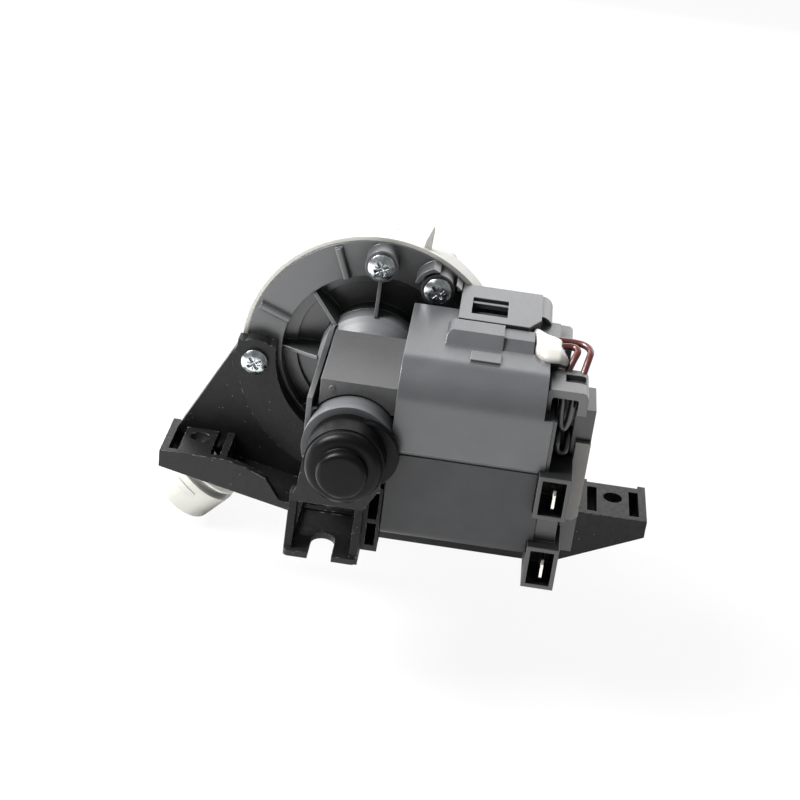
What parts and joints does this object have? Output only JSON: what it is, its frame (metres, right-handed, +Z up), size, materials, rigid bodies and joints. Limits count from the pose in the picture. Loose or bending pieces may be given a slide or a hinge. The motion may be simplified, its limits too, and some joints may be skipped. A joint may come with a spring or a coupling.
{
  "type": "washer drain pump",
  "caption": "Drain pump with a synchronous motor, screwed cover, hose tubes and a mounting bracket with two feet and a slotted tab.",
  "frame": {"origin": "midway between the two foot holes, on the upper faces of their pads", "axes": "+X along the foot holes towards the terminal end, +Y along the pump axis towards the inlet tube, +Z up"},
  "size_m": [0.1629, 0.117, 0.1204],
  "materials": {
    "bracket_plastic": "moulded black, fine grain",
    "rubber": "black rubber",
    "white_plastic": "cream white, moulded",
    "grey_plastic": "mid grey, moulded",
    "can_plastic": "light grey, moulded",
    "cap_plastic": "light grey, moulded",
    "zinc_steel": "bright zinc",
    "shaft_steel": "ground steel",
    "ferrite": "sintered ferrite",
    "washer_plastic": "natural nylon",
    "bearing_ceramic": "white ceramic",
    "core_steel": "stacked sheet, dark grey",
    "bobbin_plastic": "natural moulding",
    "copper": "enamelled copper wire",
    "sealant": "cured off-white sealant",
    "red_sleeve": "brown-red insulation",
    "dark_sleeve": "dark insulation",
    "tin_plate": "tinned sheet",
    "beige_plastic": "warm grey, moulded"
  },
  "bodies": {
    "pump": {"mount_bracket": "bracket_plastic", "tail_boot": "rubber", "volute": "white_plastic", "volute_seal_ring": "rubber", "pump_cover": "grey_plastic", "rotor_can": "can_plastic", "cover_screws": "zinc_steel", "bracket_screws": "zinc_steel", "front_bearing": "bearing_ceramic", "rear_bearing": "bearing_ceramic", "front_bearing_seat": "rubber", "rear_bearing_seat": "rubber", "chamber_plug": "can_plastic", "shaft_seal": "rubber", "stator_core": "core_steel", "upper_bobbin": "bobbin_plastic", "lower_bobbin": "bobbin_plastic", "upper_winding": "copper", "lower_winding": "copper", "housing_upper": "grey_plastic", "housing_lower": "grey_plastic", "thermal_protector": "shaft_steel", "sealant_bead": "sealant", "protector_lead_1": "red_sleeve", "protector_lead_2": "red_sleeve", "coil_leads": "dark_sleeve", "lead_cap": "cap_plastic", "terminal_holder": "grey_plastic", "spade_terminals": "tin_plate", "end_plate": "beige_plastic"},
    "rotor": {"rotor_shaft": "shaft_steel", "rotor_magnet": "ferrite", "rotor_carrier": "white_plastic", "drive_dog": "white_plastic", "front_thrust_washer": "washer_plastic", "rear_thrust_washer": "washer_plastic"},
    "impeller": {"impeller": "white_plastic", "impeller_hub_cap": "white_plastic", "coupling_damper": "rubber"}
  },
  "joints": [
    {"name": "rotor_spin", "type": "hinge", "parent": "pump", "child": "rotor", "pos_m": [-0.0151, -0.02, 0.0312], "axis": [0, 1, 0], "continuous": true},
    {"name": "impeller_swing", "type": "hinge", "parent": "rotor", "child": "impeller", "pos_m": [-0.0151, 0.026, 0.0312], "axis": [0, 1, 0], "range_deg": [-104, 104]}
  ]
}
